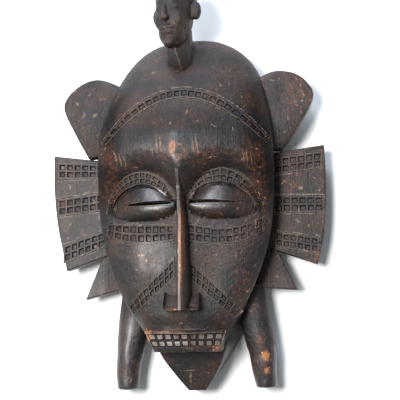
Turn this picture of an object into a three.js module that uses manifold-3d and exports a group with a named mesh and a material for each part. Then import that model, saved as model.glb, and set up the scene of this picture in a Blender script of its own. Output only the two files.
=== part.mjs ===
// A Senufo kpelie mask, carved from one block of wood, lying face up on its flat back rim.
// Millimetres. X runs to the viewer's right, Y from the chin to the crown, Z out of the face.
import * as THREE from "three";
import { mergeVertices } from "three/addons/utils/BufferGeometryUtils.js";
import Module from "manifold-3d";

const wasm = await Module();
wasm.setup();

// Driving dimensions. Y is counted from the eye line here, and the finished mask is moved so that
// the middle of its box is the origin.
const MIDDLE = new THREE.Vector3(-0.5, 17, 0);
const HALF_WIDTH = 79; // half of the head's width at the brow
const WIDEST_Y = 30;
const CROWN_RISE = 120; // from the widest line up to the crown
const CROWN_SQUARENESS = 2.65; // an ellipse would have 2
const JAW_DROP = 144; // from the widest line down to where the jaw ends
const JAW_NARROWING = 41; // by how much half the width shrinks over that drop
const JAW_SQUARENESS = 2.55;
const MOUTH_END_Y = -132;
const FACE_EDGE_Z = 45; // the sharp edge round the face
const SHIELD_RISE = 16; // from that edge up to the middle of the cheeks
const CROWN_Z = 28; // the cap's edge at the crown
const BROW_Z = 80; // the forehead's highest point
const BROW_Y = 40;
const FULLNESS = { crown: 0.7, dome: 0.6, shield: 0.8 }; // a half ellipse would have 0.5
const WALL = 9; // thickness of the wood in front of the wearer's face
const RIM = 10; // width of the flat back rim
const FLANGE = 9; // thickness of the ears, wings and points beside the face
const RAISED = 1.6; // height of the ornament bands above the wood round them
const PIT = 1.2; // depth of the chiselled pits in the bands

const mix = THREE.MathUtils.lerp;
const smooth = (from, to, v) => {
  const t = THREE.MathUtils.clamp((v - from) / (to - from), 0, 1);
  return t * t * (3 - 2 * t);
};
const point = (x, y) => new THREE.Vector2(x, y);

// Outline of the head: half its width at a height y, and how far the carver's line leans sideways.
function halfWidth(y) {
  if (y > WIDEST_Y) {
    const rise = Math.min((y - WIDEST_Y) / CROWN_RISE, 1);
    return HALF_WIDTH * (1 - rise ** CROWN_SQUARENESS) ** (1 / CROWN_SQUARENESS);
  }
  return HALF_WIDTH - JAW_NARROWING * ((WIDEST_Y - y) / JAW_DROP) ** JAW_SQUARENESS;
}

function lean(y) {
  return 3 * smooth(60, 125, y) - 1.2 * smooth(20, 80, -y);
}

// How far across the face a point is: 0 on the midline, 1 at the edge.
function across(x, y) {
  return Math.min(Math.abs(x - lean(y)) / halfWidth(y), 1);
}

// Forehead and cap, one bulging dome.
function dome(x, y) {
  const edge = mix(FACE_EDGE_Z, CROWN_Z, smooth(40, 115, y));
  const back = Math.min((y - BROW_Y) / (WIDEST_Y + CROWN_RISE - BROW_Y), 1);
  const top = y > BROW_Y
    ? CROWN_Z + (BROW_Z - CROWN_Z) * (1 - back ** 2) ** FULLNESS.crown
    : BROW_Z - 0.008 * (BROW_Y - y) ** 2;
  return edge + (top - edge) * (1 - across(x, y) ** 2) ** FULLNESS.dome;
}

// Cheeks and lips, a flatter shield that hollows a little beside the nose and above the mouth.
function shield(x, y) {
  const cheek = 3 * Math.exp(-(((Math.abs(x) - 22) / 13) ** 2) - ((y + 62) / 30) ** 2);
  const lip = 4 * smooth(-100, -116, y);
  return FACE_EDGE_Z + (SHIELD_RISE - lip) * (1 - across(x, y) ** 2) ** FULLNESS.shield - cheek;
}

// Eye sockets: half ellipses standing on the line where the brow bands end.
const SOCKET = { x: 39, y: -13, outer: [30.5, 37], inner: [25.5, 26.5] };

function socketReach(x, y, [halfSpan, rise]) {
  const aside = (Math.abs(x) - SOCKET.x) / halfSpan;
  const above = Math.max(y - SOCKET.y, 0) / rise;
  return Math.hypot(aside, above);
}

// The forehead hangs over the brow bands and runs down between the eyes into the nose.
function foreheadShare(x, y) {
  const clear = (socketReach(x, y, SOCKET.outer) - 1) * SOCKET.outer[0];
  return smooth(0, 15, clear) * smooth(-45, -8, y);
}

// The upper lid slopes out to the slit, and the lower lid is a round roll under it.
const SLIT = { y: -4, half: 1, from: 10, to: 50, backZ: 20, frontZ: 90 };
const LID = { rise: 8, set: 5, upper: 19, lower: 13 };

function eyes(x, y) {
  const under = y - SLIT.y;
  const lid = under > 0
    ? Math.max(1 - under / LID.upper, 0)
    : Math.sqrt(Math.max(1 - (under / LID.lower) ** 2, 0));
  const reach = socketReach(x, y, SOCKET.inner);
  const aside = (Math.abs(x) - SOCKET.x) / SOCKET.inner[0];
  const inside = (1 - smooth(0.86, 1, reach)) * smooth(-19, -16.5, y);
  return inside * (LID.rise * lid * (1 - Math.min(Math.abs(aside), 1) ** 4) - LID.set);
}

// The head's surface without its nose.
function face(x, y) {
  return mix(shield(x, y) + eyes(x, y), dome(x, y), foreheadShare(x, y));
}

// A slab between two rails, each a function of 0 to 1 along the slab. Its top and bottom are height
// functions, its sides may splay outwards below, and u runs across it from one rail to the other.
// Everything on the mask except its legs and the small head is such a slab.
function slab(left, right, [columns, rows], top, bottom, options) {
  return lay(new THREE.BoxGeometry(1, 1, 1, columns, rows, 1), left, right, top, bottom, options);
}

// Lays a unit box between the rails. Its points at the level FOOT are the feet of pits.
const FOOT = 0.25;

const even = (t) => t;

function lay(box, left, right, top, bottom, { stepsU = even, stepsV = even, splay = () => 0 } = {}) {
  const corner = box.attributes.position;
  for (let i = 0; i < corner.count; i++) {
    const u = stepsU(corner.getX(i) + 0.5);
    const v = stepsV(corner.getY(i) + 0.5);
    const { x, y } = left(v).lerp(right(v), u);
    const level = corner.getZ(i);
    if (level > 0) corner.setXYZ(i, x, y, top(x, y, u) - (level === FOOT ? PIT : 0));
    else corner.setXYZ(i, x + splay(v) * (2 * u - 1), y, bottom(x, y, u));
  }
  return solid(box);
}

// Turns a closed geometry into a solid, with its faces pointing out.
function solid(geometry) {
  geometry.deleteAttribute("normal");
  geometry.deleteAttribute("uv");
  const merged = mergeVertices(geometry, 1e-5);
  const vertProperties = new Float32Array(merged.attributes.position.array);
  const triVerts = new Uint32Array(merged.index.array);
  const corners = [0, 1, 2].map(() => new THREE.Vector3());
  let volume = 0;
  for (let i = 0; i < triVerts.length; i += 3) {
    corners.forEach((c, k) => c.fromArray(vertProperties, 3 * triVerts[i + k]));
    volume += corners[0].dot(corners[1].clone().cross(corners[2]));
  }
  if (volume < 0) triVerts.reverse();
  return new wasm.Manifold(new wasm.Mesh({ numProp: 3, vertProperties, triVerts }));
}

const curve = (...points) => {
  const line = new THREE.SplineCurve(points.map(([x, y]) => point(x, y)));
  return (v) => line.getPoint(v);
};
const line = ([x0, y0], [x1, y1]) => (v) => point(mix(x0, x1, v), mix(y0, y1, v));
const ellipse = (x, y, halfSpan, rise, from, to) => (v) => {
  const angle = THREE.MathUtils.degToRad(mix(from, to, v));
  return point(x + halfSpan * Math.cos(angle), y + rise * Math.sin(angle));
};

// The head: cap, forehead and face in one, from the lips to the crown. Its rails run straight up
// to the temples, then round the cap, and stop just short of the very top.
const TEMPLE = { y: 55, share: 0.6 };
const CAP_END = 1.5; // radians round the cap

function headRail(side, inset = 0) {
  const rise = CROWN_RISE - inset;
  const capStart = Math.asin((TEMPLE.y - WIDEST_Y) / rise);
  return (v) => {
    const round = mix(capStart, CAP_END, (v - TEMPLE.share) / (1 - TEMPLE.share));
    const y = v < TEMPLE.share
      ? mix(MOUTH_END_Y + inset, TEMPLE.y, v / TEMPLE.share)
      : WIDEST_Y + rise * Math.sin(round);
    const shrink = inset * Math.sqrt(halfWidth(y) / HALF_WIDTH);
    return point(lean(y) + side * Math.max(halfWidth(y) - shrink, 4), y);
  };
}

const WALL_SPLAY = 5; // the head's side walls stand out this much at the back
const head = slab(headRail(-1), headRail(1), [20, 46], face, () => 0, { splay: () => WALL_SPLAY });

// The chin, a blunt wedge set back under the mouth.
const CHIN = { z: 33.5, roundness: 0.004 };
const chin = slab(curve([-2.5, -167], [-12.5, -153], [-27, -127]),
  curve([12.5, -167], [22.5, -152.5], [33, -126]), [2, 3],
  (x) => CHIN.z - CHIN.roundness * x * x, () => 0, { splay: (v) => 1 + 7 * v });

// A long thin nose, whose ridge rises steadily from the forehead to the tip, with flared wings
// that share its straight lower edge.
const NOSE = { x: -1.5, tip: -97.6, root: 27, ridge: 2.3, half: 7, bottomZ: 40 };
const RIDGE = { y: 10, z: 74, tipZ: 90, fall: 0.02, flank: 34 };

function noseTop(x, y) {
  const ridge = mix(RIDGE.z, RIDGE.tipZ, (RIDGE.y - y) / (RIDGE.y - NOSE.tip));
  const aside = (Math.abs(x - NOSE.x) - NOSE.ridge) / (NOSE.half - NOSE.ridge);
  return ridge - RIDGE.flank * Math.max(aside, 0) - RIDGE.fall * Math.max(y - RIDGE.y, 0) ** 2;
}

const noseSteps = (u) => {
  const edge = (NOSE.half - NOSE.ridge) / (2 * NOSE.half);
  return u === 0.25 ? edge : u === 0.75 ? 1 - edge : u;
};
const NOSTRIL = { z: 79, rise: 16, length: 15, bottomZ: 50 };
const nostrilTop = (x, y) => NOSTRIL.z - NOSTRIL.rise * ((y - NOSE.tip) / NOSTRIL.length) ** 1.5;
const nostril = (left, right) => slab(left, right, [1, 3], nostrilTop, () => NOSTRIL.bottomZ);
const noseParts = [
  slab(line([NOSE.x - NOSE.half, NOSE.tip], [NOSE.x - NOSE.half, NOSE.root]),
    line([NOSE.x + NOSE.half, NOSE.tip], [NOSE.x + NOSE.half, NOSE.root]),
    [4, 6], noseTop, () => NOSE.bottomZ,
    { stepsU: noseSteps }),
  nostril(line([-16, NOSE.tip], [-13.5, NOSE.tip + 15]), line([-4, NOSE.tip], [-4, NOSE.tip + 15])),
  nostril(line([2, NOSE.tip], [2, NOSE.tip + 15]), line([12.8, NOSE.tip], [12.8, NOSE.tip + 13])),
];

// Fan-shaped ears, wings and small points: flanges set back beside the face. The ears are hollowed
// like shells and rise to the head.
const EAR = { rimZ: 27, headZ: 44.5, hollowness: 0.7 };
const WING_Z = 25;
const POINT_Z = 23;
const earTop = (fromHead) => mix(EAR.headZ, EAR.rimZ, fromHead ** EAR.hollowness);
const leftEar = slab(
  curve([-91, 43], [-103, 65], [-114.5, 91], [-108.5, 105.5], [-97.5, 114], [-86, 117.6], [-74.5, 116],
    [-62, 110]),
  line([-76, 45], [-58, 104]), [3, 11], (x, y, u) => earTop(1 - u), () => EAR.rimZ - FLANGE);
const rightEar = slab(
  line([76.5, 45], [60.5, 107]),
  curve([85.5, 44], [100.5, 63], [115.4, 91], [111, 104], [102, 112.5], [90, 116.4], [77.5, 115.8],
    [61, 107.5]),
  [3, 11], (x, y, u) => earTop(u), () => EAR.rimZ - FLANGE);
const plate = (left, right, z, rows = 1) => slab(left, right, [1, rows], () => z, () => z - FLANGE);
const flanges = [
  leftEar,
  rightEar,
  plate(curve([-113, -59], [-121.1, -19.4], [-124.5, 14], [-124.7, 47.7]),
    line([-71, -45], [-74, 40.5]), WING_Z, 8),
  plate(line([70, -43], [74, 41.5]),
    curve([114.1, -58.8], [121.4, -27.5], [124.1, 14], [123.5, 48.2]), WING_Z, 8),
  plate(line([-96.1, -85.6], [-79.5, -46]), line([-60, -76], [-70, -44]), POINT_Z),
  plate(line([58, -77.5], [70, -44]), line([95.8, -81.1], [79, -45]), POINT_Z),
];

// Two legs, rounds that bow outwards and taper to a blunt end.
const LEG = { z: 20, depth: 23, taper: 0.8 };

function leg(path, thick, end) {
  const round = new THREE.CylinderGeometry(1, 1, 1, 12, 5);
  const corner = round.attributes.position;
  const centre = curve(...path);
  for (let i = 0; i < corner.count; i++) {
    const v = corner.getY(i) + 0.5;
    const c = centre(v);
    const half = mix(end, thick, v ** LEG.taper);
    const z = LEG.z + Math.min(half, LEG.depth / 2) * corner.getZ(i);
    corner.setXYZ(i, c.x + half * corner.getX(i), c.y, z);
  }
  return solid(round);
}
const legs = [
  leg([[-58.5, -166], [-57, -140], [-54, -120], [-48, -80]], 15, 9.3),
  leg([[66, -165.5], [63.5, -146], [58, -120], [49, -76]], 15, 8.6),
];

// Ornament bands: raised strips with a border and rows of pits, each chiselled down to a point, so
// that thin ridges are left between them. The border is counted in cells.
function band(left, right, rows, cells, ground, { raised = RAISED, sunk = 4, border = 0.3 } = {}) {
  const columns = rows + 2;
  const box = new THREE.BoxGeometry(1, 1, 1, columns, cells + 2, 1);
  const points = Array.from(box.attributes.position.array);
  const faces = Array.from(box.index.array);
  const topFace = box.groups[4].start;
  for (let along = 1; along <= cells; along++) {
    for (let aside = 1; aside <= rows; aside++) {
      const at = topFace + 6 * (columns * along + aside);
      const [a, b, d] = faces.slice(at, at + 3);
      const c = faces[at + 4];
      const foot = points.length / 3;
      points.push((points[3 * a] + points[3 * c]) / 2, (points[3 * a + 1] + points[3 * c + 1]) / 2, FOOT);
      faces.splice(at, 6, a, b, foot, b, c, foot);
      faces.push(c, d, foot, d, a, foot);
    }
  }
  box.setAttribute("position", new THREE.Float32BufferAttribute(points, 3));
  box.setIndex(faces);
  const top = (x, y) => ground(x, y) + raised;
  return lay(box, left, right, top, (x, y) => ground(x, y) - sunk,
    { stepsU: frets(rows, border), stepsV: frets(cells, border) });
}

// Spreads the equal steps of a grid into pits between two narrow borders.
function frets(cells, border) {
  return (t) => {
    const step = t * (cells + 2);
    const inner = THREE.MathUtils.clamp(step - 1, 0, cells);
    const edges = Math.min(step, 1) + Math.max(step - cells - 1, 0);
    return (inner + border * edges) / (cells + 2 * border);
  };
}

// The diadem's arch, a parabola, and its lower edge one band's width inside it.
const DIADEM = { from: -74, to: 76, peakX: 1, peakY: 95.3, bend: 0.0079, width: 9 };

const diademRail = (inset) => (v) => {
  const x = mix(DIADEM.from, DIADEM.to, v);
  const slope = -2 * DIADEM.bend * (x - DIADEM.peakX);
  const length = Math.hypot(1, slope);
  const y = DIADEM.peakY - DIADEM.bend * (x - DIADEM.peakX) ** 2;
  return point(x + (inset * slope) / length, y - inset / length);
};

// The mouth is a plate that stands forward of the lips.
const MOUTH = { z: 57, roundness: 0.006 };
const mouthTop = (x) => MOUTH.z - MOUTH.roundness * x * x;

const bands = [
  band(diademRail(DIADEM.width), diademRail(0), 1, 20, dome),
  // Brow arcs, which narrow towards the nose.
  band(ellipse(-38.5, -13, 25, 26.5, 180, 42), ellipse(-39, -13, 31, 37.5, 180, 27), 2, 11, shield),
  band(ellipse(38.5, -13, 25, 26.5, 0, 138), ellipse(39, -13, 31, 37.5, 0, 153), 2, 11, shield),
  // Bands under the eyes.
  band(curve([-70, -30.7], [-57.7, -36.6], [-41.2, -39], [-24.9, -38.9], [-8, -36.5]),
    curve([-68.6, -20], [-41, -22], [-8, -23.2]), 2, 9, shield),
  band(curve([4, -38.6], [20, -40.6], [36.1, -40.8], [56.2, -36.8], [71, -29.3]),
    curve([4, -24.4], [36.5, -27.5], [53.8, -24.7], [70, -18]), 2, 11, shield),
  // Slanting bands from the nose to the jaw.
  band(line([-47.5, -102], [-8, -69]), line([-52, -93.5], [-8, -52]), 2, 8, shield),
  band(line([5, -70.5], [42.5, -105.5]), line([5, -55], [49, -98.5]), 2, 8, shield),
  band(line([-27.5, -131.5], [28.2, -131.6]), line([-36.9, -113.8], [34.3, -114.3]), 2, 10,
    mouthTop, { raised: 5, sunk: 14, border: 0.5 }),
];

// Three bands on each wing. A row gives a band's lower and upper edge beside the face, the x of its
// outer end, and its lower and upper edge there.
const WING_BAND_X = 77;
const WING_BANDS = [
  [25.6, 38, -121.5, 25.6, 41.3],
  [-4.5, 12, -121.5, -8.7, 7.1],
  [-37.5, -23, -116, -52, -35.8],
  [22.3, 37.7, 121.5, 27.5, 42],
  [-12.4, 3.5, 121.5, -12.5, 1.8],
  [-41.7, -28.7, 116, -49.7, -34.9],
];
for (const [low, high, endX, endLow, endHigh] of WING_BANDS) {
  const startX = Math.sign(endX) * WING_BAND_X;
  bands.push(band(line([startX, low], [endX, endLow]), line([startX, high], [endX, endHigh]),
    2, 6, () => WING_Z, { sunk: 3 }));
}

// The small head on the crown, turned a little to the viewer's left, on a neck of its own.
const SMALL_TURN = THREE.MathUtils.degToRad(-20);
const SMALL = new THREE.Matrix4().makeRotationY(SMALL_TURN).setPosition(-3.5, 164, 65);

function ball(x, y, z, halfX, halfY, halfZ, steps = [6, 5]) {
  const sphere = new THREE.SphereGeometry(1, ...steps);
  sphere.scale(halfX, halfY, halfZ);
  sphere.translate(x, y, z);
  sphere.applyMatrix4(SMALL);
  return solid(sphere);
}

const NECK = { top: 9.5, foot: 11.5, length: 56, y: 128, z: 40, tilt: 0.1 };

function neck() {
  const round = new THREE.CylinderGeometry(NECK.top, NECK.foot, NECK.length, 12, 1);
  round.translate(0, NECK.y, 0);
  round.rotateX(NECK.tilt);
  round.translate(0, 0, NECK.z);
  return solid(round);
}

const smallHead = [
  ball(0, 0, 0, 17, 35, 20, [12, 9]),
  ball(0, 14, -3, 18.5, 23, 21, [12, 9]),
  ball(-18, 0, -3, 5, 8, 5),
  ball(18, 0, -3, 5, 8, 5),
  ball(0, -6, 18, 4, 10, 5),
  ball(0, -19, 13, 8, 5, 6),
  neck(),
];

// The hollow for the wearer's face, kept behind the sunken eyes, and the two slits that the wearer
// looks through. It is at its least of three neighbouring depths, so no step comes too near.
const HOLLOW_REACH = 6;

function inside(x, y) {
  return mix(shield(x, y) - LID.set, dome(x, y), foreheadShare(x, y)) - WALL;
}

const hollow = slab(headRail(-1, RIM), headRail(1, RIM), [10, 14],
  (x, y) => Math.min(inside(x - HOLLOW_REACH, y), inside(x, y), inside(x + HOLLOW_REACH, y)),
  () => -5);

function slit(side) {
  const end = (x) => line([side * x, SLIT.y - SLIT.half], [side * x, SLIT.y + SLIT.half]);
  return slab(end(SLIT.from), end(SLIT.to), [1, 1], () => SLIT.frontZ, () => SLIT.backZ);
}

const carved = wasm.Manifold.union([head, chin, ...noseParts, ...flanges, ...legs, ...smallHead, ...bands])
  .subtract(hollow)
  .subtract(slit(-1))
  .subtract(slit(1));

const mesh = carved.getMesh();
const geometry = new THREE.BufferGeometry();
geometry.setAttribute("position", new THREE.BufferAttribute(mesh.vertProperties, 3));
geometry.setIndex(new THREE.BufferAttribute(mesh.triVerts, 1));
geometry.translate(-MIDDLE.x, -MIDDLE.y, -MIDDLE.z);
geometry.computeVertexNormals();

const wood = new THREE.MeshStandardMaterial({ color: "#2b211c", roughness: 0.45, metalness: 0 });
const mask = new THREE.Mesh(geometry, wood);
mask.name = "mask";

const group = new THREE.Group();
group.add(mask);
export default group;
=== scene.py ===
import math
import random

import bmesh
import bpy
from mathutils import Matrix, Vector, noise


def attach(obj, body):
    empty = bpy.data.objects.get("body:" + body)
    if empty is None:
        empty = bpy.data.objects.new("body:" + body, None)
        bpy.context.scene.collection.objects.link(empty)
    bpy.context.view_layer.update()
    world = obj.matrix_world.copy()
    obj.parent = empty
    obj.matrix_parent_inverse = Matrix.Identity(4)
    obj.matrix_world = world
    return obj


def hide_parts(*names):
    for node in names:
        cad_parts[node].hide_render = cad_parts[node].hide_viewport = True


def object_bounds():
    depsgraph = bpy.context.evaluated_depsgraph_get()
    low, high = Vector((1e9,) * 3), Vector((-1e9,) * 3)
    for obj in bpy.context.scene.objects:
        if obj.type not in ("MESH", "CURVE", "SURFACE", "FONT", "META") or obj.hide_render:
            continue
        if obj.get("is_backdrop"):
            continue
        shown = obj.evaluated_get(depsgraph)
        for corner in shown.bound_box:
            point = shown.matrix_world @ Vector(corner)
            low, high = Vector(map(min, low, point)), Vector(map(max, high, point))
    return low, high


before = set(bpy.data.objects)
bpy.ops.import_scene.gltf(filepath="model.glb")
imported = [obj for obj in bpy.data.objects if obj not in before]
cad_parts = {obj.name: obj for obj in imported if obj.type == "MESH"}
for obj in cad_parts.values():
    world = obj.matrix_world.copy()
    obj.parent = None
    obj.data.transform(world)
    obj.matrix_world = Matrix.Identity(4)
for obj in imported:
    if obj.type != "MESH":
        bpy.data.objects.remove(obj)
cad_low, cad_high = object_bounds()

# A Senufo kpelie mask of stained hardwood, carved from one block and worn by handling.
# It lies face up on its flat back rim. Sizes are in millimetres, with y counted up from the eye
# line and z from the rim.

# The head: cap, forehead and face in one. The cap bulges, the cheeks are a flatter shield, and a
# sharp edge runs round both. Its outline leans a little, as hand carving does.
HALF_WIDTH = 79
WIDEST_Y = 30
CROWN_RISE = 120
CROWN_SQUARENESS = 2.5
JAW_DROP = 144
JAW_NARROWING = 41
JAW_SQUARENESS = 2.55
MOUTH_END_Y = -132
FACE_EDGE_Z = 45
SHIELD_RISE = 17
SHIELD_FLATNESS = 2.7
CROWN_Z = 28
BROW_Z = 77.5
BROW_Y = 40
CROWN_FULLNESS = 0.7
DOME_FULLNESS = 0.6
SHIELD_FULLNESS = 0.8
BROW_FALL = 0.008
CROWN_LEAN = 5
JAW_LEAN = 1.2
CHEEK_HOLLOW = 3
CHEEK_X = 22
CHEEK_Y = -62
CHEEK_SPREAD = (13, 30)
LIP_DROP = 4


def mix(a, b, t):
    return a + (b - a) * t


def smooth(start, stop, value):
    t = min(max((value - start) / (stop - start), 0), 1)
    return t * t * (3 - 2 * t)


def half_width(y):
    if y > WIDEST_Y:
        rise = min((y - WIDEST_Y) / CROWN_RISE, 1)
        return HALF_WIDTH * (1 - rise ** CROWN_SQUARENESS) ** (1 / CROWN_SQUARENESS)
    return HALF_WIDTH - JAW_NARROWING * ((WIDEST_Y - y) / JAW_DROP) ** JAW_SQUARENESS


def lean(y):
    return CROWN_LEAN * smooth(60, 135, y) - JAW_LEAN * smooth(20, 80, -y)


def across(x, y):
    """How far across the face a point is: 0 on the midline, 1 at the edge."""
    return min(abs(x - lean(y)) / max(half_width(y), 1), 1)


def dome(x, y):
    edge = mix(FACE_EDGE_Z, CROWN_Z, smooth(40, 115, y))
    back = min((y - BROW_Y) / (WIDEST_Y + CROWN_RISE - BROW_Y), 1)
    if y > BROW_Y:
        top = CROWN_Z + (BROW_Z - CROWN_Z) * (1 - back ** 2) ** CROWN_FULLNESS
    else:
        top = BROW_Z - BROW_FALL * (BROW_Y - y) ** 2
    return edge + (top - edge) * (1 - across(x, y) ** 2) ** DOME_FULLNESS


def shield(x, y):
    """The flat lower face. Its cheeks are a little hollow beside the nose."""
    aside, along = (abs(x) - CHEEK_X) / CHEEK_SPREAD[0], (y - CHEEK_Y) / CHEEK_SPREAD[1]
    cheek = CHEEK_HOLLOW * math.exp(-aside ** 2 - along ** 2)
    rise = SHIELD_RISE - LIP_DROP * smooth(-100, -116, y)
    rounded = (1 - across(x, y) ** SHIELD_FLATNESS) ** SHIELD_FULLNESS
    return FACE_EDGE_Z + rise * rounded - cheek


# The keel, a soft ridge left standing where the nose runs up into the forehead. The wood falls
# away on both sides of it.
KEEL_X = -2
KEEL_RISE = 7
KEEL_SPREAD = 19
KEEL_ROUND = 3.5
KEEL_LEAN = 0.12
KEEL_LEAN_Y = 15


def keel(x, y):
    aside = x - KEEL_X + KEEL_LEAN * max(y - KEEL_LEAN_Y, 0)
    away = math.hypot(aside, KEEL_ROUND) / KEEL_SPREAD
    return KEEL_RISE * smooth(72, 20, y) * smooth(-20, 8, y) * math.exp(-away)


# The eye sockets are half ellipses, and the closed lids fill them. The upper lid slopes out to the
# slit, and the lower lid is a round roll under it. Both are fullest towards the nose.
SOCKET_X = 36
SOCKET_Y = -13
SOCKET_OUTER = (33, 38)
SOCKET_INNER = (30, 25.7)
SLIT_Y = -4.5
LID_RISE = 6
LID_SET = 3
LID_CORNER_Y = -8
LID_DROP = 11
LID_FULLEST_X = 24
LID_TAPER = 34
LOWER_LID_SQUARENESS = 2.6
LOWER_LID_FULLEST = 0.25
BROW_ROLL = 21
ROLL_FULLNESS = 2.4


def socket_reach(x, y, half_span, rise):
    return math.hypot((abs(x) - SOCKET_X) / half_span, max(y - SOCKET_Y, 0) / rise)


def forehead_share(x, y):
    """The forehead swells out over the brow arcs like a quarter round."""
    clear = (socket_reach(x, y, *SOCKET_OUTER) - 1) * SOCKET_OUTER[0] / BROW_ROLL
    clear = min(max(clear, 0), 1)
    return (1 - (1 - clear) ** ROLL_FULLNESS) * smooth(-45, -8, y)


def eyes(x, y):
    span = abs(abs(x) - SOCKET_X) / SOCKET_INNER[0]
    if span > 1:
        return 0
    upper = SOCKET_Y + SOCKET_INNER[1] * math.sqrt(1 - span ** 2)
    round_off = (1 - span ** LOWER_LID_SQUARENESS) ** (1 / LOWER_LID_SQUARENESS)
    lower = LID_CORNER_Y - LID_DROP * round_off
    if y > SLIT_Y:
        t = (y - SLIT_Y) / max(upper - SLIT_Y, 2)
        lid = max(1 - t, 0)
        opening = 1 - smooth(1.1, 1.4, t)
    else:
        t = (SLIT_Y - y) / max(SLIT_Y - lower, 2)
        past = t - LOWER_LID_FULLEST
        if past > 0:
            lid = math.sqrt(max(1 - (past / (1 - LOWER_LID_FULLEST)) ** 2, 0))
        else:
            lid = 1 - 4 * past ** 2
        opening = 1 - smooth(0.92, 1.1, t)
    full = max(1 - ((abs(x) - LID_FULLEST_X) / LID_TAPER) ** 2, 0)
    corner = 1 - smooth(0.93, 1, span) * (abs(x) > SOCKET_X)
    return corner * opening * (LID_RISE * full * lid - LID_SET * (1 - lid))


def blank_face(x, y):
    """The face before the eyes are cut."""
    forehead = dome(x, y) + keel(x, y)
    return mix(shield(x, y), forehead, forehead_share(x, y))


def uneven(x, y, size, wave, seed=0):
    """The unevenness that a knife leaves: up to size high, in patches about wave long."""
    return size * noise.noise(Vector((x / wave, y / (1.6 * wave), seed)))


def face(x, y, *grid):
    open_share = 1 - forehead_share(x, y)
    return (blank_face(x, y) + open_share * eyes(x, y)
            + uneven(x, y, 0.3, 11) + uneven(x, y, 0.15, 4))


def even(count):
    return [i / count for i in range(count + 1)]


def edged(count):
    """Grid lines that crowd together towards both ends."""
    return [(1 - math.cos(math.pi * i / count)) / 2 for i in range(count + 1)]


def zero(x, y):
    return 0


# The middle of the whole mask stands on the origin, and the shared frame is in metres.
FRAME_SHIFT = Vector((0.5, -17, 0))
MM = 0.001


def to_frame(x, y, z):
    return (Vector((x, y, z)) + FRAME_SHIFT) * MM


def slab(name, rails, u_lines, v_lines, top, bottom, splay=zero, soft=0, levels=1, shelter=zero):
    """A closed solid between two rails, each a function of 0 to 1. The height function top also
    gets the numbers of its grid lines. soft rounds the top over at all four edges, levels is the
    number of steps down its sides, and shelter is how well a grid point is kept from wear."""
    columns, rows = len(u_lines) - 1, len(v_lines) - 1
    bpy.ops.mesh.primitive_grid_add(x_subdivisions=columns, y_subdivisions=rows, size=1)
    piece = bpy.context.object
    piece.name = name
    bpy.ops.object.mode_set(mode="EDIT")
    for _ in range(levels):
        bpy.ops.mesh.extrude_region_move(TRANSFORM_OT_translate={"value": (0, 0, -1)})
    bpy.ops.object.mode_set(mode="OBJECT")
    length = (rails[0](1) - rails[0](0)).length
    shelters = []
    for vertex in piece.data.vertices:
        i = round((vertex.co.x + 0.5) * columns)
        j = round((vertex.co.y + 0.5) * rows)
        u, v = u_lines[i], v_lines[j]
        start, end = rails[0](v), rails[1](v)
        x, y = start.lerp(end, u)
        depth = -vertex.co.z / levels
        inside = min(min(u, 1 - u) * (end - start).length, min(v, 1 - v) * length)
        drop = soft - math.sqrt(max(soft ** 2 - max(soft - inside, 0) ** 2, 0))
        z = mix(top(x, y, i, j) - drop, bottom(x, y), depth)
        vertex.co = to_frame(x + splay(x, y) * depth * (2 * u - 1), y, z)
        shelters.append(shelter(i, j))
    piece.data.attributes.new("sheltered", "FLOAT", "POINT").data.foreach_set("value", shelters)
    bpy.ops.object.mode_set(mode="EDIT")
    bpy.ops.mesh.select_all(action="SELECT")
    bpy.ops.mesh.normals_make_consistent(inside=False)
    bpy.ops.object.mode_set(mode="OBJECT")
    return piece


def straight(start, end):
    return lambda v: Vector(start).lerp(Vector(end), v)


def curve(*points):
    """A smooth rail through the points, which runs straight on past its ends."""
    points = [Vector(p) for p in points]

    def rail(v):
        t = v * (len(points) - 1)
        k = min(max(math.floor(t), 0), len(points) - 2)
        t -= k
        before = points[max(k - 1, 0)]
        after = points[min(k + 2, len(points) - 1)]
        a, b = points[k], points[k + 1]
        slope_a, slope_b = (b - before) / 2, (after - a) / 2
        return (t ** 3 * (2 * a - 2 * b + slope_a + slope_b)
                + t ** 2 * (3 * b - 3 * a - 2 * slope_a - slope_b) + t * slope_a + a)
    return rail


# The walls run down from the sharp edge to the rim. At the rim each stands further out than at the
# edge by its splay, most at the right of the jaw.
LEFT_SPLAY = 5
RIGHT_SPLAY = -2
JAW_SPLAY = 12
TEMPLE_Y = 55
TEMPLE_SHARE = 0.6
CAP_END = 1.5
TOP_HALF_WIDTH = 4
HEAD_COLUMNS = 122
CHEEK_ROWS = 152
CAP_ROWS = 60


def head_rail(side, inset=0):
    """The head's outline on one side. Above the temples its points follow the round of the cap."""
    rise = CROWN_RISE - inset
    cap_start = math.asin((TEMPLE_Y - WIDEST_Y) / rise)

    def rail(v):
        if v < TEMPLE_SHARE:
            y = mix(MOUTH_END_Y + inset, TEMPLE_Y, v / TEMPLE_SHARE)
        else:
            round_cap = mix(cap_start, CAP_END, (v - TEMPLE_SHARE) / (1 - TEMPLE_SHARE))
            y = WIDEST_Y + rise * math.sin(round_cap)
        shrink = inset * math.sqrt(half_width(y) / HALF_WIDTH)
        return Vector((lean(y) + side * max(half_width(y) - shrink, TOP_HALF_WIDTH), y))
    return rail


def head_splay(x, y):
    return mix(RIGHT_SPLAY, JAW_SPLAY, smooth(-80, -122, y)) if x > 0 else LEFT_SPLAY


head_columns = [mix(a, b, 0.6) for a, b in zip(even(HEAD_COLUMNS), edged(HEAD_COLUMNS))]
head_rows = [TEMPLE_SHARE * row for row in even(CHEEK_ROWS)[:-1]]
head_rows += [mix(TEMPLE_SHARE, 1, row) for row in even(CAP_ROWS)]
mask = slab("mask", (head_rail(-1), head_rail(1)), head_columns, head_rows, face, zero,
            splay=head_splay, levels=6)


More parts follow.
